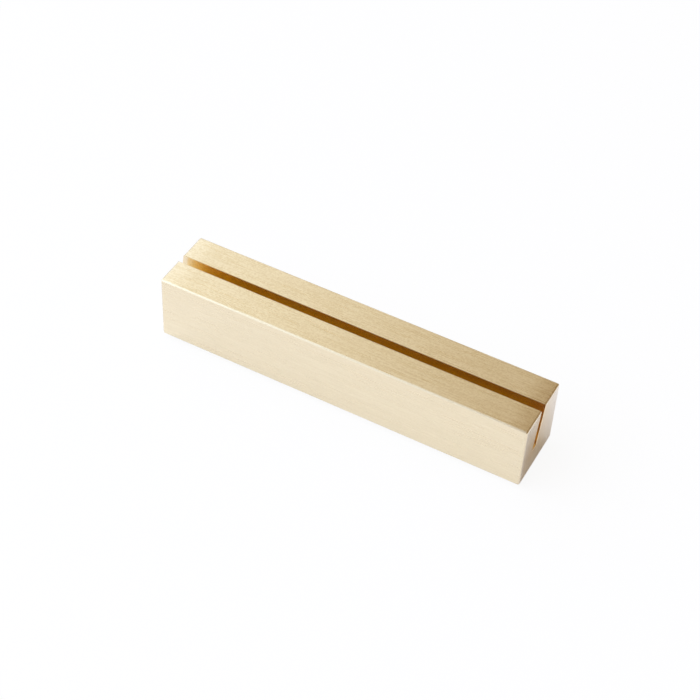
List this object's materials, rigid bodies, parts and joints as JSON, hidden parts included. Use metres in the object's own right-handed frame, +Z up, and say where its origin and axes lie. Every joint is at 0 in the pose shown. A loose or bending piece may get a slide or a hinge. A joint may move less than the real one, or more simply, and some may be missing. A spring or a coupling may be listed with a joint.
{
  "type": "place card holder",
  "caption": "Square brushed brass bar with a leaning slot along its top that holds a place card on a table, on a felt pad.",
  "frame": {"origin": "on the table, under the middle of the bar", "axes": "+X along the bar and its slot, -Y the front face that the card leans away from, +Z up"},
  "size_m": [0.102, 0.019, 0.0202],
  "materials": {
    "brushed_brass": "fine brushing along the bar, satin, unlacquered saw cut in the slot",
    "clear_adhesive": "thin clear acrylic adhesive sheet",
    "charcoal_felt": "pressed wool felt, matt and slightly hairy"
  },
  "bodies": {
    "root": {"slotted_bar": "brushed_brass", "adhesive_sheet": "clear_adhesive", "felt_pad": "charcoal_felt"}
  },
  "joints": []
}
